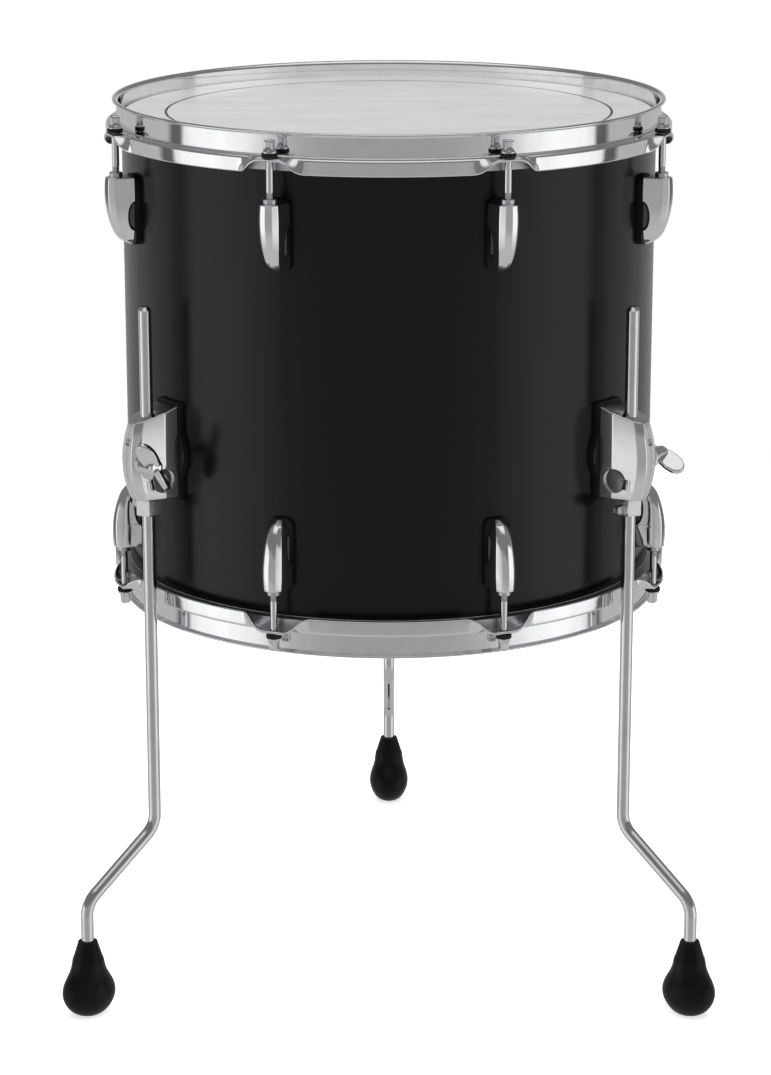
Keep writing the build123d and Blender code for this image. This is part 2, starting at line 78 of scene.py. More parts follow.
def mesh_object(name, points, faces, materials, material_of=None):
    """A smooth-shaded mesh object. material_of gives a face's slot from its index."""
    mesh = bpy.data.meshes.new(name)
    mesh.from_pydata([tuple(p) for p in points], [], faces)
    for material in materials:
        mesh.materials.append(material)
    mesh.polygons.foreach_set("use_smooth", [True] * len(mesh.polygons))
    if material_of:
        mesh.polygons.foreach_set("material_index", [material_of(i) for i in range(len(faces))])
    obj = bpy.data.objects.new(name, mesh)
    bpy.context.scene.collection.objects.link(obj)
    return obj


def apply_modifiers(obj):
    """Replaces the object's mesh by what its modifiers make of it."""
    graph = bpy.context.evaluated_depsgraph_get()
    made = bpy.data.meshes.new_from_object(obj.evaluated_get(graph))
    obj.modifiers.clear()
    obj.data = made
    return obj


def on_circle(radius, angle, height):
    """A point at an angle in degrees, counted from the front as the drum's parts are."""
    turn = math.radians(angle)
    return (radius * math.sin(turn), -radius * math.cos(turn), height)


def swept_rings(name, sections, angles, materials, material_of=None):
    """A closed ring: one closed section of (radius, height) for each angle."""
    count = len(sections[0])
    points = [on_circle(r, a, z) for a, section in zip(angles, sections) for r, z in section]
    faces = []
    for i in range(len(angles)):
        here = i * count
        there = (i + 1) % len(angles) * count
        for k in range(count):
            n = (k + 1) % count
            faces.append((here + k, there + k, there + n, here + n))
    per_face = (lambda i: material_of(i % count)) if material_of else None
    return mesh_object(name, points, faces, materials, per_face)


def smooth_step(x):
    """Goes from 0 to 1 with no kink at either end."""
    x = min(1.0, max(0.0, x))
    return x * x * x * (10 - 15 * x + 6 * x * x)


def even_shading(obj, sharp_degrees):
    """Keeps flat faces flat and lets only the narrow roundings between them shade smoothly."""
    obj.data.set_sharp_from_angle(angle=math.radians(sharp_degrees))
    modifier = obj.modifiers.new("normals", "WEIGHTED_NORMAL")
    modifier.keep_sharp = True
    modifier.weight = 80
    return apply_modifiers(obj)


def rounded_outline(corners, rounding, steps=3):
    """A polygon's outline with each corner rounded, always the same number of points."""
    outline = []
    for i, corner in enumerate(corners):
        before = Vector(corners[i - 1]) - Vector(corner)
        after = Vector(corners[(i + 1) % len(corners)]) - Vector(corner)
        reach = min(rounding, 0.45 * before.length, 0.45 * after.length)
        start = Vector(corner) + before.normalized() * reach
        end = Vector(corner) + after.normalized() * reach
        for k in range(steps + 1):
            t = k / steps
            outline.append(tuple((1 - t) ** 2 * start + 2 * t * (1 - t) * Vector(corner) + t ** 2 * end))
    return outline


def loft(name, levels, materials):
    """A closed body through level outlines, each given as (outline, height)."""
    count = len(levels[0][0])
    points = [(x, y, z) for outline, z in levels for x, y in outline]
    faces = []
    for i in range(len(levels) - 1):
        for k in range(count):
            n = (k + 1) % count
            faces.append((i * count + k, i * count + n, (i + 1) * count + n, (i + 1) * count + k))
    faces.append(tuple(range(count))[::-1])
    faces.append(tuple(range((len(levels) - 1) * count, len(levels) * count)))
    obj = mesh_object(name, points, faces, materials)
    tidy = bmesh.new()
    tidy.from_mesh(obj.data)
    bmesh.ops.recalc_face_normals(tidy, faces=tidy.faces)
    tidy.to_mesh(obj.data)
    tidy.free()
    return obj


def pin(radius, length, segments=48):
    """A cylinder on the Z axis, from -length / 2 to length / 2."""
    mesh = bpy.data.meshes.new("pin")
    shape = bmesh.new()
    bmesh.ops.create_cone(shape, cap_ends=True, segments=segments, depth=length,
                          radius1=radius, radius2=radius)
    shape.to_mesh(mesh)
    shape.free()
    obj = bpy.data.objects.new("pin", mesh)
    bpy.context.scene.collection.objects.link(obj)
    return obj


def upright_rod(radius, angle, from_axis, height, length):
    """A cylinder parallel to the drum's axis, at an angle counted from the front."""
    obj = pin(radius, length)
    obj.data.transform(Matrix.Translation(on_circle(from_axis, angle, height)))
    return obj


def cross_pin(radius, from_axis, start, end, height):
    """A cylinder across a bracket drawn along +X, from start to end on +Y."""
    obj = pin(radius, end - start, 64)
    obj.data.transform(Matrix.Rotation(math.radians(90), 4, "X"))
    obj.data.transform(Matrix.Translation((from_axis, (start + end) / 2, height)))
    return obj


def block(size, middle):
    """A box of a size round its middle."""
    mesh = bpy.data.meshes.new("block")
    shape = bmesh.new()
    bmesh.ops.create_cube(shape, size=1.0)
    shape.to_mesh(mesh)
    shape.free()
    mesh.transform(Matrix.Translation(middle) @ Matrix.Diagonal((*size, 1.0)))
    obj = bpy.data.objects.new("block", mesh)
    bpy.context.scene.collection.objects.link(obj)
    return obj


def carve(obj, cutters):
    """Cuts the cutters away from the object and removes them."""
    for cutter in cutters:
        modifier = obj.modifiers.new("cut", "BOOLEAN")
        modifier.operation = "DIFFERENCE"
        modifier.solver = "MANIFOLD"
        modifier.object = cutter
    apply_modifiers(obj)
    for cutter in cutters:
        bpy.data.objects.remove(cutter)


def copies_round(obj, placements, name):
    """One mesh object made of the object's mesh at every placement."""
    whole = bmesh.new()
    for place in placements:
        mesh = obj.data.copy()
        mesh.transform(place)
        if place.determinant() < 0:
            mesh.flip_normals()
        whole.from_mesh(mesh)
        bpy.data.meshes.remove(mesh)
    made = bpy.data.meshes.new(name)
    whole.to_mesh(made)
    whole.free()
    for material in obj.data.materials:
        made.materials.append(material)
    bpy.data.objects.remove(obj)
    result = bpy.data.objects.new(name, made)
    bpy.context.scene.collection.objects.link(result)
    return result


def around(angle):
    """The turn that carries a part drawn along +X to an angle counted from the front."""
    return Matrix.Rotation(math.radians(angle - 90), 4, "Z")


def half(side):
    """Carries a part drawn above the shell's middle to the batter or the resonant side."""
    sign = 1 if side == "batter" else -1
    return Matrix.Translation((0, 0, MIDDLE_Z)) @ Matrix.Diagonal((1, 1, sign, 1))


def curve_through(knots, at):
    """Smooth value at a place, through (place, value) knots."""
    places = [k[0] for k in knots]
    values = [k[1] for k in knots]
    slopes = np.gradient(values, places)
    i = int(np.clip(np.searchsorted(places, at, side="right") - 1, 0, len(places) - 2))
    width = places[i + 1] - places[i]
    t = min(1.0, max(0.0, (at - places[i]) / width))
    return ((2 * t ** 3 - 3 * t ** 2 + 1) * values[i] + (t ** 3 - 2 * t ** 2 + t) * width * slopes[i]
            + (-2 * t ** 3 + 3 * t ** 2) * values[i + 1] + (t ** 3 - t ** 2) * width * slopes[i + 1])


# ---------------------------------------------------------------- material helpers

class Shader:
    """A node material with one Principled shader, built a few nodes at a time."""

    def __init__(self, name, color, roughness, metallic=0.0, **inputs):
        self.material = bpy.data.materials.new(name)
        self.material.use_nodes = True
        self.tree = self.material.node_tree
        self.nodes = self.tree.nodes
        self.shader = self.nodes["Principled BSDF"]
        self.set("Base Color", (*color, 1.0))
        self.set("Roughness", roughness)
        self.set("Metallic", metallic)
        for key, value in inputs.items():
            self.set(key.replace("_", " "), value)
        self.position = self.nodes.new("ShaderNodeTexCoord").outputs["Object"]

    def set(self, socket, value):
        self.shader.inputs[socket].default_value = value

    def link(self, output, target):
        self.tree.links.new(output, target)

    def drive(self, socket, output):
        self.link(output, self.shader.inputs[socket])

    def stretched(self, scale):
        """Object position scaled on each axis, for textures that run along one axis."""
        node = self.nodes.new("ShaderNodeMapping")
        node.inputs["Scale"].default_value = scale
        self.link(self.position, node.inputs["Vector"])
        return node.outputs["Vector"]

    def noise(self, scale, detail=4.0, vector=None, distortion=0.0):
        node = self.nodes.new("ShaderNodeTexNoise")
        node.inputs["Scale"].default_value = scale
        node.inputs["Detail"].default_value = detail
        node.inputs["Distortion"].default_value = distortion
        self.link(vector or self.position, node.inputs["Vector"])
        return node.outputs["Fac"]

    def voronoi(self, scale, vector=None):
        node = self.nodes.new("ShaderNodeTexVoronoi")
        node.inputs["Scale"].default_value = scale
        self.link(vector or self.position, node.inputs["Vector"])
        return node.outputs["Distance"]

    def span(self, value, low, high, to_low, to_high, smooth=False):
        """Maps a value from one span to another, clamped."""
        node = self.nodes.new("ShaderNodeMapRange")
        if smooth:
            node.interpolation_type = "SMOOTHSTEP"
        ends = {"From Min": low, "From Max": high, "To Min": to_low, "To Max": to_high}
        for socket, number in ends.items():
            node.inputs[socket].default_value = number
        self.link(value, node.inputs["Value"])
        return node.outputs["Result"]

    def mix(self, factor, first, second):
        """Mixes two colours by a factor output."""
        node = self.nodes.new("ShaderNodeMix")
        node.data_type = "RGBA"
        for socket, value in ((node.inputs[6], first), (node.inputs[7], second)):
            if isinstance(value, tuple):
                socket.default_value = (*value, 1.0)
            else:
                self.link(value, socket)
        self.link(factor, node.inputs["Factor"])
        return node.outputs[2]

    def math(self, operation, first, second=None):
        node = self.nodes.new("ShaderNodeMath")
        node.operation = operation
        for socket, value in zip(node.inputs, (first, second)):
            if value is None:
                continue
            if isinstance(value, (int, float)):
                socket.default_value = value
            else:
                self.link(value, socket)
        return node.outputs["Value"]

    def axis_radius(self):
        """Distance from the drum's axis."""
        split = self.nodes.new("ShaderNodeSeparateXYZ")
        self.link(self.position, split.inputs["Vector"])
        square = self.math("ADD", self.math("POWER", split.outputs["X"], 2.0),
                           self.math("POWER", split.outputs["Y"], 2.0))
        return self.math("SQRT", square)

    def bump(self, height, strength, distance, socket="Normal"):
        node = self.nodes.new("ShaderNodeBump")
        node.inputs["Strength"].default_value = strength
        node.inputs["Distance"].default_value = distance
        self.link(height, node.inputs["Height"])
        self.link(node.outputs["Normal"], self.shader.inputs[socket])


# ---------------------------------------------------------------- materials

BLACK_LACQUER = (0.004, 0.004, 0.0042)
MAPLE_DARK = (0.42, 0.25, 0.12)
MAPLE_LIGHT = (0.62, 0.42, 0.23)


def lacquer():
    """Black lacquer with a faint orange-peel surface, and bare maple inside the shell."""
    m = Shader("shell_lacquer", BLACK_LACQUER, 0.2, IOR=1.5, Specular_IOR_Level=0.26)
    inside = m.span(m.axis_radius(), SHELL_R - 1.2 * MM, SHELL_R - 0.8 * MM, 1.0, 0.0)
    plies = m.noise(18.0, 6.0, m.stretched((1.0, 1.0, 9.0)), 1.2)
    wood = m.mix(m.span(plies, 0.3, 0.7, 0.0, 1.0), MAPLE_DARK, MAPLE_LIGHT)
    m.drive("Base Color", m.mix(inside, BLACK_LACQUER, wood))
    haze = m.span(m.noise(6.0, 5.0), 0.3, 0.7, 0.19, 0.24)
    m.drive("Roughness", m.math("MAXIMUM", haze, m.math("MULTIPLY", inside, 0.5)))
    peel = m.math("ADD", m.noise(260.0, 2.0), m.math("MULTIPLY", m.noise(40.0, 2.0), 2.0))
    m.bump(peel, 0.05, 0.4 * MM)
    return m.material


def chrome(name, tint, rough_low, rough_high, ripple):
    """Plated metal: a bright mirror with faint smudges and a slightly uneven surface."""
    m = Shader(name, tint, rough_low, 1.0)
    smudge = m.noise(35.0, 6.0, None, 0.8)
    m.drive("Roughness", m.span(smudge, 0.42, 0.72, rough_low, rough_high))
    darker = tuple(c * 0.93 for c in tint)
    m.drive("Base Color", m.mix(m.span(m.noise(90.0, 5.0), 0.45, 0.75, 0.0, 1.0), tint, darker))
    m.bump(m.noise(22.0, 3.0), ripple, 0.6 * MM)
    return m.material


def drawn_chrome():
    """Plated rod: fine lines along its length."""
    m = Shader("leg_chrome", (0.72, 0.72, 0.73), 0.10, 1.0)
    lines = m.noise(900.0, 3.0, m.stretched((1.0, 1.0, 0.02)))
    m.drive("Roughness", m.span(lines, 0.3, 0.7, 0.08, 0.17))
    worn = m.span(m.noise(60.0, 5.0), 0.5, 0.8, 0.0, 1.0)
    m.drive("Base Color", m.mix(worn, (0.73, 0.73, 0.74), (0.64, 0.64, 0.65)))
    m.bump(lines, 0.06, 0.1 * MM)
    return m.material


def steel():
    """Zinc-plated fasteners inside the drum."""
    m = Shader("plated_steel", (0.60, 0.60, 0.62), 0.3, 1.0)
    m.drive("Roughness", m.span(m.noise(200.0, 4.0), 0.3, 0.7, 0.22, 0.42))
    m.bump(m.noise(500.0, 3.0), 0.1, 0.1 * MM)
    return m.material


def flesh_metal():
    m = Shader("flesh_hoop_metal", (0.55, 0.55, 0.56), 0.35, 1.0)
    m.drive("Roughness", m.span(m.noise(120.0, 4.0, m.stretched((1.0, 1.0, 12.0))), 0.3, 0.7, 0.28, 0.45))
    return m.material


def film(name, color, cloud, roughness):
    """Translucent drum film: pale, glossy, with faint cloudy streaks."""
    m = Shader(name, color, roughness, IOR=1.55)
    streaks = m.noise(7.0, 6.0, m.stretched((1.0, 3.2, 1.0)), 1.4)
    cloudy = m.span(streaks, 0.35, 0.75, 0.0, 1.0)
    m.drive("Base Color", m.mix(cloudy, color, cloud))
    m.drive("Roughness", m.span(m.noise(30.0, 5.0), 0.3, 0.7, roughness, roughness + 0.08))
    m.bump(m.noise(160.0, 3.0), 0.04, 0.2 * MM)
    return m.material


def rubber(name, color, rough_low, rough_high, grain):
    """Moulded rubber or nylon: satin, with a fine grain."""
    m = Shader(name, color, rough_low, IOR=1.5, Specular_IOR_Level=0.13)
    m.drive("Roughness", m.span(m.noise(80.0, 5.0), 0.3, 0.7, rough_low, rough_high))
    lighter = tuple(c * 1.8 + 0.002 for c in color)
    m.drive("Base Color", m.mix(m.span(m.noise(50.0, 6.0), 0.5, 0.85, 0.0, 1.0), color, lighter))
    m.bump(m.math("ADD", m.noise(900.0, 2.0), m.voronoi(700.0)), grain, 0.15 * MM)
    return m.material


GASKET_BLACK = (0.006, 0.006, 0.006)
GASKET_WORN = (0.014, 0.014, 0.014)
# Painted sheen: grey put on the black rubber where it stands out into the lugs' windows.
WINDOW_SHEEN_GREY = (0.085, 0.085, 0.085)


def gasket():
    """Black rubber pads; where they stand out into the lugs' windows they are painted grey as a painted sheen."""
    m = Shader("gasket_rubber", GASKET_BLACK, 0.5, IOR=1.5, Specular_IOR_Level=0.2)
    m.drive("Roughness", m.span(m.noise(80.0, 5.0), 0.3, 0.7, 0.42, 0.58))
    # Painted sheen: rubber farther from the axis than this, in the lugs' windows, is coloured grey.
    sheen_from = SHELL_R + 3.8 * MM
    in_window = m.span(m.axis_radius(), sheen_from, sheen_from + 0.1 * MM, 0.0, 1.0)
    dusty = m.mix(m.span(m.noise(50.0, 6.0), 0.5, 0.85, 0.0, 1.0), GASKET_BLACK, GASKET_WORN)
    m.drive("Base Color", m.mix(in_window, dusty, WINDOW_SHEEN_GREY))
    m.bump(m.math("ADD", m.noise(900.0, 2.0), m.voronoi(700.0)), 0.12, 0.15 * MM)
    return m.material


CHROME = (0.86, 0.86, 0.87)
MATERIALS = {
    "shell_lacquer": lacquer(),
    "hoop_chrome": chrome("hoop_chrome", CHROME, 0.035, 0.09, 0.02),
    "cast_chrome": chrome("cast_chrome", CHROME, 0.05, 0.12, 0.05),
    "rod_chrome": chrome("rod_chrome", (0.76, 0.76, 0.77), 0.06, 0.14, 0.03),
    "leg_chrome": drawn_chrome(),
    "trim_chrome": chrome("trim_chrome", CHROME, 0.05, 0.12, 0.02),
    "plated_steel": steel(),
    "flesh_hoop_metal": flesh_metal(),
    "batter_film": film("batter_film", (0.54, 0.54, 0.54), (0.61, 0.61, 0.61), 0.12),
    "damping_film": film("damping_film", (0.45, 0.45, 0.46), (0.52, 0.52, 0.53), 0.15),
    "resonant_film": film("resonant_film", (0.60, 0.60, 0.61), (0.66, 0.66, 0.67), 0.10),
    "gasket_rubber": gasket(),
    "foot_rubber": rubber("foot_rubber", (0.004, 0.004, 0.0042), 0.26, 0.36, 0.06),
    "washer_nylon": rubber("washer_nylon", (0.010, 0.010, 0.010), 0.35, 0.50, 0.05),
}
# Painted shade: a dark line put on the batter film along the edge of the damping ring.
RING_EDGE_SHADE = rubber("film_edge", (0.05, 0.05, 0.05), 0.3, 0.4, 0.02)


def dress_cad_nodes():
    """Gives every CAD node the detailed material of its slot."""
    for part in RECORD["subparts"]:
        node = NODES[part["node"]]
        node.data.materials.clear()
        node.data.materials.append(MATERIALS[part["material_slot"]])


# ---------------------------------------------------------------- hoops

STEEL = 2.1 * MM
LEDGE_DROP = 17.3 * MM
CORNER_BEND = 1.2 * MM
ROOT_BEND = 2.0 * MM
WALL_GAP = 1.5 * MM
LIP_WIDTH = 4.2 * MM
EAR_EXTRA = 0.6 * MM
# An ear is flat out to the first angle from its lug and has run out at the second, in degrees.
EAR_FLAT = 1.3
EAR_END = 7.6
EAR_DENSE = 7.5
EAR_HOLE_R = 3.3 * MM


def hoop_section(flare):
    """The hoop's closed section as (radius, height above the shell's middle).

    flare is 0 where the skirt hangs straight and 1 where it lies flat as an ear.
    """
    lip_h = HOOP_HIGH.z - MIDDLE_Z
    skirt_h = HOOP_LOW.z - MIDDLE_Z
    wall_r = SHELL_R + WALL_GAP + STEEL / 2
    ledge_h = lip_h - LEDGE_DROP - STEEL / 2
    skirt_r = SKIRT_OUTER_R - STEEL / 2
    bend = ROOT_BEND
    centre = [(wall_r + LIP_WIDTH - STEEL / 2, lip_h - STEEL / 2)]
    centre += arc((wall_r + bend, lip_h - STEEL / 2 - bend), bend, 90, 180, 5)
    centre += arc((wall_r + bend, ledge_h + bend), bend, 180, 270, 5)
    length = ledge_h - skirt_h - CORNER_BEND
    angle = -90 * (1 - flare)
    corner = (skirt_r - CORNER_BEND, ledge_h - CORNER_BEND)
    centre += arc(corner, CORNER_BEND, 90, 90 + min(angle, -1.0), 6)
    last = centre[-1]
    reach = length + flare * EAR_EXTRA
    heading = math.radians(angle)
    for share in (0.35, 0.7, 1.0):
        run = reach * share
        centre.append((last[0] + math.cos(heading) * run, last[1] + math.sin(heading) * run))
    return thicken(centre, STEEL / 2)


def arc(centre, radius, start, end, steps):
    """Points on an arc, angles in degrees."""
    turns = [math.radians(start + (end - start) * i / steps) for i in range(steps + 1)]
    return [(centre[0] + radius * math.cos(t), centre[1] + radius * math.sin(t)) for t in turns]


def thicken(line, half):
    """A closed outline round an open line, with rounded ends."""
    points = np.array(line)
    along = np.gradient(points, axis=0)
    along /= np.linalg.norm(along, axis=1)[:, None]
    side = np.stack([-along[:, 1], along[:, 0]], 1)
    left = points + side * half
    right = points - side * half
    cap_end = [tuple(points[-1] + half * (math.sin(t) * along[-1] + math.cos(t) * side[-1]))
               for t in np.linspace(0, math.pi, 7)[1:-1]]
    cap_start = [tuple(points[0] + half * (-math.sin(t) * along[0] - math.cos(t) * side[0]))
                 for t in np.linspace(0, math.pi, 7)[1:-1]]
    return [*map(tuple, left), *cap_end, *map(tuple, right[::-1]), *cap_start]


def ear_angles():
    """Angles round the hoop, close together at the ears."""
    near = list(np.arange(-EAR_DENSE, EAR_DENSE + 0.001, 0.25))
    far = list(np.linspace(EAR_DENSE, 45.0 - EAR_DENSE, 27))[1:-1]
    return [a + offset for a in LUG_ANGLES for offset in (*near, *far)]


def flare_at(angle):
    """How far the skirt is turned out, so that its free edge rises in an S-curve to each ear."""
    nearest = min(abs((angle - a + 180) % 360 - 180) for a in LUG_ANGLES)
    rise = 1 - smooth_step((nearest - EAR_FLAT) / (EAR_END - EAR_FLAT))
    return rise ** 0.75


def build_hoop(side):
    sign = 1 if side == "batter" else -1
    angles = ear_angles()
    sections = []
    for angle in angles:
        outline = hoop_section(flare_at(angle))
        sections.append([(r, MIDDLE_Z + sign * h) for r, h in outline][::sign])
    hoop = swept_rings(f"{side}_hoop_steel", sections, angles, [MATERIALS["hoop_chrome"]])
    hoop.data.flip_normals()
    ear_z = MIDDLE_Z + sign * (HOOP_LOW.z - MIDDLE_Z)
    drills = [upright_rod(EAR_HOLE_R, angle, ROD_CIRCLE_R, ear_z, 0.03) for angle in LUG_ANGLES]
    carve(hoop, drills)
    even_shading(hoop, 50)
    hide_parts(f"{side}_hoop")
    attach(hoop, f"{side}_rim")


# ---------------------------------------------------------------- heads

RING_EDGE = 2.0 * MM


def build_head(side):
    """Film with a rounded collar that goes down into the flesh hoop."""
    sign = 1 if side == "batter" else -1
    top = HEAD_HIGH.z - MIDDLE_Z
    bottom = HEAD_LOW.z - MIDDLE_Z
    ring_r = (RING_HIGH.x - RING_LOW.x) / 2 - 28.5 * MM
    outer = [(0.0005, top - FILM / 2)]
    marks = [0.001, 0.002, 0.004, 0.04, 0.08, 0.12, 0.15, ring_r - 2.0 * MM, ring_r - RING_EDGE / 2]
    outer += [(r, top - FILM / 2) for r in marks]
    edge_from = len(outer) - 1
    outer += [(ring_r + RING_EDGE / 2, top - FILM / 2), (ring_r + 2.0 * MM, top - FILM / 2)]
    outer += [(r, top - FILM / 2) for r in (0.18, 0.19, 0.196)]
    collar = HEAD_R - FILM / 2
    outer += arc((collar - 3.0 * MM, top - FILM / 2 - 3.0 * MM), 3.0 * MM, 90, 0, 7)
    outer.append((collar, bottom))
    outline = thicken(outer, FILM / 2)
    section = [(max(r, 0.0001), MIDDLE_Z + sign * h) for r, h in outline][::sign]
    angles = [i * 360 / 192 for i in range(192)]
    # Painted shade: on the batter head, the band at the damping ring's edge takes the dark line material.
    has_edge = side == "batter"

    def slot_of(k):
        return 1 if has_edge and k == edge_from else 0

    name = f"{side}_film"
    sections = [section] * len(angles)
    head = swept_rings(f"{side}_head_film", sections, angles, [MATERIALS[name], RING_EDGE_SHADE], slot_of)
    head.data.flip_normals()
    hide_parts(f"{side}_head")
    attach(head, f"{side}_rim")


# ---------------------------------------------------------------- lugs and tension rods

LUG_H = 140.4
LUG_LENGTH = 50.5
LUG_BASE = 3.5
LUG_DRAFT = 0.14
LUG_WINDOW_DROP = 28.5
LUG_WINDOW_HALF_H = 11.0
LUG_WINDOW_DEPTH = 5.0
# Each knot: drop from the lug's top, then the value there, in millimetres.
LUG_HALF_WIDTH = ((0, 7.3), (9, 7.8), (19, 7.7), (28, 7.2),
                  (37, 6.2), (42.5, 5.4), (47, 4.3), (50.5, 2.4))
LUG_REACH = ((0, 23.2), (9, 23.8), (19, 23.4), (28, 21.8),
             (37, 19.0), (42.5, 16.2), (47, 11.8), (50.5, 5.6))


def lug_level(drop, inset):
    """One level of a lug: two chamfers, two facets in a ridge, and a hollow back at the side window."""
    width = curve_through(LUG_HALF_WIDTH, drop) - inset
    reach = curve_through(LUG_REACH, drop) - inset
    depth = reach - LUG_BASE
    facet_r = reach - min(0.2 * width, 0.3 * depth)
    chamfer_r = LUG_BASE + max(0.15 * depth, depth - 0.72 * width)
    off_window = (drop - LUG_WINDOW_DROP) / LUG_WINDOW_HALF_H
    hollow = LUG_WINDOW_DEPTH * math.sqrt(max(0.0, 1 - off_window ** 2))
    back_r = min(LUG_BASE + inset + hollow, chamfer_r - 0.4)
    back = width + LUG_DRAFT * (chamfer_r - back_r)
    side = [(back_r, back), (chamfer_r, width), (facet_r, 0.57 * width)]
    corners = [(r, -y) for r, y in side] + [(reach, 0.0)] + side[::-1]
    wide = [((SHELL_R / MM + r) * MM, y * MM) for r, y in corners]
    return rounded_outline(wide, 0.5 * MM), (LUG_H - drop) * MM


def build_lugs(side):
    window_top = LUG_WINDOW_DROP - LUG_WINDOW_HALF_H
    window_low = LUG_WINDOW_DROP + LUG_WINDOW_HALF_H
    in_window = [LUG_WINDOW_DROP - LUG_WINDOW_HALF_H * math.cos(math.pi * k / 24) for k in range(25)]
    above = list(np.linspace(0.9, window_top, 12)[:-1])
    below = list(np.linspace(window_low, LUG_LENGTH - 0.5, 10)[1:])
    drops = [(0.0, 0.8), (0.2, 0.3), (0.9 * 0.6, 0.06)] + [(d, 0.0) for d in above + in_window + below]
    drops += [(LUG_LENGTH - 0.12, 0.25), (LUG_LENGTH, 0.8)]
    levels = [lug_level(drop, inset) for drop, inset in drops]
    lug = loft("lug", levels[::-1], [MATERIALS["cast_chrome"]])
    even_shading(lug, 42)
    places = [half(side) @ around(angle) for angle in LUG_ANGLES]
    lugs = copies_round(lug, places, f"{side}_lug_castings")
    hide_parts(f"{side}_lug_casings")
    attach(lugs, "drum")


ROD_R = 2.65
ROD_SIDES = 48
ROD_HEAD_TURN = 0.35
ROD_END_H = 122.0
ROD_SEAT_H = 176.0
THREAD_TOP_H = 149.0
THREAD_PITCH = 1.06
THREAD_DEPTH = 0.45
# Head levels: height over the seat, half size, and how square the outline is.
ROD_HEAD = ((0.0, 4.7, 0.0), (0.25, 5.0, 0.0), (1.1, 5.0, 0.0), (1.5, 4.8, 0.0), (2.3, 4.15, 0.2),
            (3.2, 3.65, 0.6), (4.2, 3.35, 0.9), (5.0, 3.22, 1.0), (8.2, 3.18, 1.0), (8.8, 3.0, 1.0),
            (9.2, 2.6, 0.9), (9.4, 2.0, 0.8))


def rod_outline(half_size, square):
    """A rod's level outline: a circle at square = 0, a rounded square at square = 1."""
    points = []
    for k in range(ROD_SIDES):
        turn = 2 * math.pi * k / ROD_SIDES + ROD_HEAD_TURN
        powered = (abs(math.cos(turn)) ** 10 + abs(math.sin(turn)) ** 10) ** 0.1
        radius = half_size * ((1 - square) + square / powered)
        points.append((ROD_CIRCLE_R + radius * MM * math.cos(turn), radius * MM * math.sin(turn)))
    return points


def build_rods(side):
    """Rods with turned grooves for threads, and square key heads on coned flanges."""
    thread_levels = []
    steps = int((THREAD_TOP_H - ROD_END_H) / THREAD_PITCH)
    for k in range(steps):
        foot_h = ROD_END_H + 0.4 + k * THREAD_PITCH
        thread_levels.append((ROD_R - THREAD_DEPTH, foot_h))
        thread_levels += [(ROD_R, foot_h + THREAD_PITCH * share) for share in (0.4, 0.6)]
    shank = [(ROD_R - THREAD_DEPTH, ROD_END_H)] + thread_levels
    shank += [(ROD_R, THREAD_TOP_H + 0.5), (ROD_R, ROD_SEAT_H)]
    levels = [(rod_outline(radius, 0.0), height * MM) for radius, height in shank]
    levels += [(rod_outline(size, square), (ROD_SEAT_H + h) * MM) for h, size, square in ROD_HEAD]
    for i, angle in enumerate(LUG_ANGLES):
        rod = loft(f"{side}_key_rod_{i + 1}", levels, [MATERIALS["rod_chrome"]])
        rod.data.set_sharp_from_angle(angle=math.radians(50))
        place = half(side) @ around(angle)
        rod.data.transform(place)
        if place.determinant() < 0:
            rod.data.flip_normals()
        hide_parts(f"{side}_tension_rod_{i + 1}")
        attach(rod, f"{side}_rod_{i + 1}")


# ---------------------------------------------------------------- leg brackets

LEG_CIRCLE_R = joint_place("left_leg_turn").to_2d().length
CLAMP_PLACE = joint_place("left_wing_turn")
CLAMP_R = CLAMP_PLACE.to_2d().length
LEG_ANGLES = {"left": -52.5, "right": 52.5, "rear": 180.0}
LEG_BORE_R = 4.85
SLIT = 0.3
NUT_SEAT_R = 8.2
NUT_SEAT_FLOOR = 10.0
PEEP_PLACE = (240.5, 0.0, 436.5)
PEEP_SIZE = (5.0, 4.4, 5.4)
RECESS_R = 217.5
RECESS_Z = 406.5
RECESS_RADIUS = 9.0
RECESS_FLOOR = 11.6
CUT_END = 30.0
# Half of a bracket's plan in millimetres: distance from the drum's axis, half width.
BRACKET_BACK = 204.4
BRACKET_PLAN = ((BRACKET_BACK, 13.6), (215.5, 13.2), (236.0, 10.4), (241.0, 6.0))
CROWN_Z = 421.0
CROWN_SPAN = 34.0
CROWN_DROP_BELOW = 9.4
CROWN_DROP_ABOVE = 7.2
CROWN_FROM = 222.0
CROWN_DEPTH = 19.0
TOP_SLOPE = (9.4, 30.0)


def crown_drop(height):
    """How far the outer face stands back from its most forward line at a height."""
    drop = CROWN_DROP_BELOW if height < CROWN_Z else CROWN_DROP_ABOVE
    return drop * ((height - CROWN_Z) / CROWN_SPAN) ** 2


def bracket_level(height, inset):
    """One level of a bracket: its outer corners stand back with the crown."""
    drop = crown_drop(height)
    half_plan = []
    for r, y in BRACKET_PLAN:
        share = max(0.0, (r - CROWN_FROM) / CROWN_DEPTH)
        set_back = max(r - drop * share - inset, BRACKET_BACK)
        half_plan.append((set_back, max(y - 0.18 * drop * share - inset, 1.0)))
    corners = [(r, -y) for r, y in half_plan] + [(r, y) for r, y in half_plan[::-1]]
    return rounded_outline([(r * MM, y * MM) for r, y in corners], 0.8 * MM), height * MM


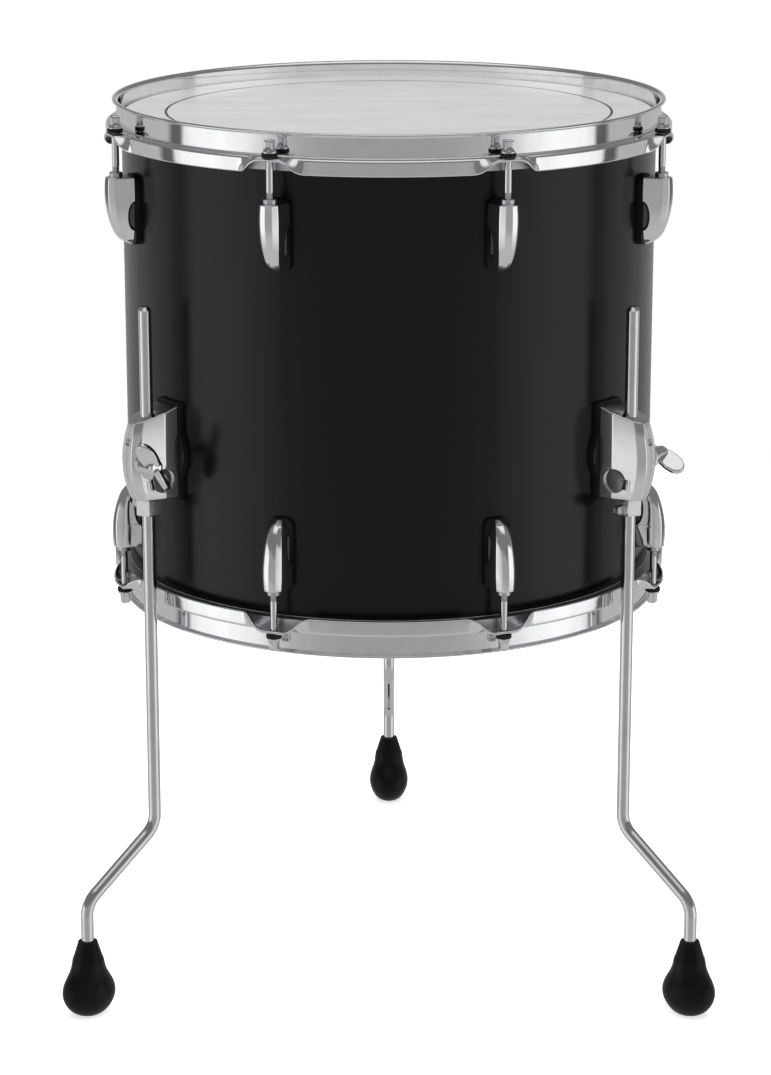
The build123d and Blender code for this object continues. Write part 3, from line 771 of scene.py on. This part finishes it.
def slope_the_top(bracket, top):
    """Cuts the bracket's top at a slant down from the shell, and rounds the cut's edge."""
    shape = bmesh.new()
    shape.from_mesh(bracket.data)
    normal = Vector((TOP_SLOPE[0], 0.0, TOP_SLOPE[1])).normalized()
    everything = shape.verts[:] + shape.edges[:] + shape.faces[:]
    corner = (BRACKET_BACK * MM, 0, top * MM)
    cut = bmesh.ops.bisect_plane(shape, geom=everything, plane_co=corner, plane_no=normal, clear_outer=True)
    rim = [e for e in cut["geom_cut"] if isinstance(e, bmesh.types.BMEdge)]
    bmesh.ops.contextual_create(shape, geom=rim)
    bmesh.ops.bevel(shape, geom=rim, offset=0.9 * MM, segments=3, profile=0.6, affect="EDGES")
    shape.to_mesh(bracket.data)
    shape.free()
    bracket.data.polygons.foreach_set("use_smooth", [True] * len(bracket.data.polygons))


def bracket_cutters():
    """Bore and slit for the leg, peep hole, nut seat, and a round recess in each side."""
    leg_bore = pin(LEG_BORE_R * MM, 0.2)
    leg_bore.data.transform(Matrix.Translation((LEG_CIRCLE_R, 0, CLAMP_PLACE.z)))
    slit = block((0.02, SLIT * MM, 0.2), (LEG_CIRCLE_R + 0.012, 0, CLAMP_PLACE.z))
    peep_hole = block([side * MM for side in PEEP_SIZE], [place * MM for place in PEEP_PLACE])
    nut_seat = cross_pin(NUT_SEAT_R * MM, CLAMP_R, NUT_SEAT_FLOOR * MM, CUT_END * MM, CLAMP_PLACE.z)
    cutters = [leg_bore, slit, peep_hole, nut_seat]
    for sign in (1, -1):
        near, far = sorted((sign * RECESS_FLOOR * MM, sign * CUT_END * MM))
        cutters.append(cross_pin(RECESS_RADIUS * MM, RECESS_R * MM, near, far, RECESS_Z * MM))
    return cutters


def build_bracket(name, angle):
    low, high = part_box(f"{name}_leg_bracket")
    bottom = low.z / MM
    top = high.z / MM
    heights = [(bottom, 0.8), (bottom + 0.2, 0.35), (bottom + 0.7, 0.0)]
    heights += [(h, 0.0) for h in np.linspace(bottom + 3, top + 4, 26)]
    levels = [bracket_level(h, inset) for h, inset in heights]
    bracket = loft(f"{name}_bracket_casting", levels, [MATERIALS["cast_chrome"]])
    slope_the_top(bracket, top)
    cutters = bracket_cutters()
    carve(bracket, cutters)
    bevel = bracket.modifiers.new("edge", "BEVEL")
    bevel.width = 0.35 * MM
    bevel.segments = 2
    bevel.limit_method = "ANGLE"
    bevel.angle_limit = math.radians(50)
    apply_modifiers(bracket)
    even_shading(bracket, 40)
    bracket.data.transform(around(angle))
    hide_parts(f"{name}_leg_bracket")
    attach(bracket, "drum")


# ---------------------------------------------------------------- floor, light and camera

FLOOR_GLOW = 0.72
FLOOR_REACH = 1.5
PAPER = (0.93, 0.93, 0.93)
PAPER_LIGHT = (0.95, 0.95, 0.95)


def build_floor():
    """Pale floor; polished metal mirrors the grey studio below instead of it."""
    mesh = bpy.data.meshes.new("floor")
    r = FLOOR_REACH
    mesh.from_pydata([(-r, -r, 0), (r, -r, 0), (r, r, 0), (-r, r, 0)], [], [(0, 1, 2, 3)])
    floor = bpy.data.objects.new("floor", mesh)
    bpy.context.scene.collection.objects.link(floor)
    m = Shader("floor_paper", PAPER, 0.9)
    m.drive("Base Color", m.mix(m.span(m.noise(3.0, 4.0), 0.3, 0.7, 0.0, 1.0), PAPER, PAPER_LIGHT))
    m.set("Emission Color", (1.0, 1.0, 1.0, 1.0))
    m.set("Emission Strength", FLOOR_GLOW)
    mesh.materials.append(m.material)
    floor.visible_glossy = False


CEILING = (0.2, 0.2, 0.2, 1.0)
OVERHEAD_GLINT = (0.9, 0.9, 0.9, 1.0)
FLOOR_GREY = (0.52, 0.52, 0.52, 1.0)
OVERHEAD_POWER = 100.0
OVERHEAD_SIZE = 3.0
OVERHEAD_Z = 3.2


def build_light():
    """Large soft light overhead, out of sight of the polished metal."""
    light = bpy.data.lights.new("overhead", "AREA")
    light.shape = "SQUARE"
    light.size = OVERHEAD_SIZE
    light.energy = OVERHEAD_POWER
    obj = bpy.data.objects.new("overhead", light)
    obj.location = (0.0, 0.0, OVERHEAD_Z)
    obj.visible_camera = False
    obj.visible_glossy = False
    bpy.context.scene.collection.objects.link(obj)


def step(tree, value, start, end):
    node = tree.nodes.new("ShaderNodeMapRange")
    node.inputs["From Min"].default_value = start
    node.inputs["From Max"].default_value = end
    tree.links.new(value, node.inputs["Value"])
    return node.outputs["Result"]


def grey_ramp(tree, value, stops):
    """A grey ramp over a direction's component, which runs from -1 to 1."""
    ramp = tree.nodes.new("ShaderNodeValToRGB")
    elements = ramp.color_ramp.elements
    while len(elements) < len(stops):
        elements.new(0.5)
    for element, (place, grey) in zip(elements, stops, strict=True):
        element.position = place
        element.color = (grey, grey, grey, 1.0)
    tree.links.new(step(tree, value, -1.0, 1.0), ramp.inputs["Fac"])
    return ramp.outputs["Color"]


def world_mix(tree, factor, first, second):
    node = tree.nodes.new("ShaderNodeMix")
    node.data_type = "RGBA"
    tree.links.new(factor, node.inputs["Factor"])
    tree.links.new(first, node.inputs[6])
    node.inputs[7].default_value = second
    return node.outputs[2]


# Grey seen round about, from the front (0) past the sides (0.5) to the back (1).
AROUND_STOPS = ((0.0, 0.36), (0.06, 0.38), (0.146, 0.48), (0.25, 0.95), (0.37, 1.15), (0.5, 1.05),
                (0.535, 0.9), (0.555, 0.12), (0.60, 0.12), (0.63, 0.5), (1.0, 0.5))
# Each pair: where along the direction's upward part a change starts, and where it is complete.
GREY_BELOW = (-0.3, -0.55)
CEILING_FROM = (0.10, 0.2)
GLINT_FROM = (0.75, 0.9)


def build_world():
    """What polished metal mirrors: bright sides, a dim ceiling with a glint, grey below.

    The camera itself sees plain white behind the floor.
    """
    world = bpy.data.worlds.new("studio")
    bpy.context.scene.world = world
    world.use_nodes = True
    tree = world.node_tree
    nodes = tree.nodes
    background = nodes["Background"]
    direction = nodes.new("ShaderNodeTexCoord").outputs["Generated"]
    split = nodes.new("ShaderNodeSeparateXYZ")
    tree.links.new(direction, split.inputs["Vector"])
    height = split.outputs["Z"]
    sideways = grey_ramp(tree, split.outputs["Y"], AROUND_STOPS)
    lower = world_mix(tree, step(tree, height, *GREY_BELOW), sideways, FLOOR_GREY)
    gap = world_mix(tree, step(tree, height, *CEILING_FROM), lower, CEILING)
    above = world_mix(tree, step(tree, height, *GLINT_FROM), gap, OVERHEAD_GLINT)
    seen = nodes.new("ShaderNodeMix")
    seen.data_type = "RGBA"
    seen.inputs[7].default_value = (1.0, 1.0, 1.0, 1.0)
    tree.links.new(nodes.new("ShaderNodeLightPath").outputs["Is Camera Ray"], seen.inputs["Factor"])
    tree.links.new(above, seen.inputs[6])
    tree.links.new(seen.outputs[2], background.inputs["Color"])


CAMERA_PLACE = (0.0, -2.3479, 0.9883)
CAMERA_PITCH = 14.632
CAMERA_LENS = 104.45
CAMERA_SHIFT = (-0.0031, -0.06)


def build_camera():
    """The camera stands in front of the drum, a little above it, and looks down."""
    camera = bpy.data.cameras.new("camera")
    camera.lens = CAMERA_LENS
    camera.shift_x, camera.shift_y = CAMERA_SHIFT
    obj = bpy.data.objects.new("camera", camera)
    obj.location = CAMERA_PLACE
    obj.rotation_euler = (math.radians(90 - CAMERA_PITCH), 0, 0)
    bpy.context.scene.collection.objects.link(obj)
    bpy.context.scene.camera = obj


dress_cad_nodes()
for drum_side in ("batter", "resonant"):
    build_hoop(drum_side)
    build_head(drum_side)
    build_lugs(drum_side)
    build_rods(drum_side)
for leg_name, leg_angle in LEG_ANGLES.items():
    build_bracket(leg_name, leg_angle)
build_floor()
build_light()
build_world()
build_camera()
bpy.context.scene.view_settings.view_transform = "Standard"
